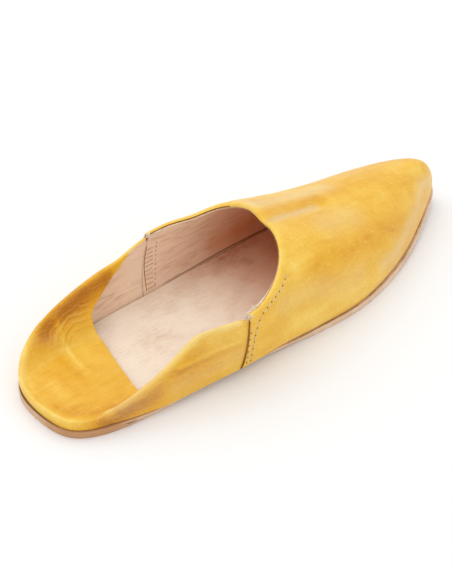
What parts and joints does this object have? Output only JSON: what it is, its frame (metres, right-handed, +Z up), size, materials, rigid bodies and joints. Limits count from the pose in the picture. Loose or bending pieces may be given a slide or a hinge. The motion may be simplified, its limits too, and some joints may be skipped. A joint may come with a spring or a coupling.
{
  "type": "babouche slipper",
  "caption": "Pointed backless leather slipper for the right foot, with a sewn vamp and quarter, a trodden-down back folded onto the insole, and a thin flat leather sole.",
  "frame": {"origin": "on the floor under the middle of the slipper's box", "axes": "+X from heel to toe, +Y to the inner side of the foot, +Z up"},
  "size_m": [0.26, 0.0766, 0.0457],
  "materials": {
    "sole_leather": "plain cut edge, matte",
    "insole_leather": "undyed, matte",
    "upper_leather": "yellow dyed, soft sheen"
  },
  "bodies": {
    "root": {"outsole": "sole_leather", "insole": "insole_leather", "upper": "upper_leather"}
  },
  "joints": []
}
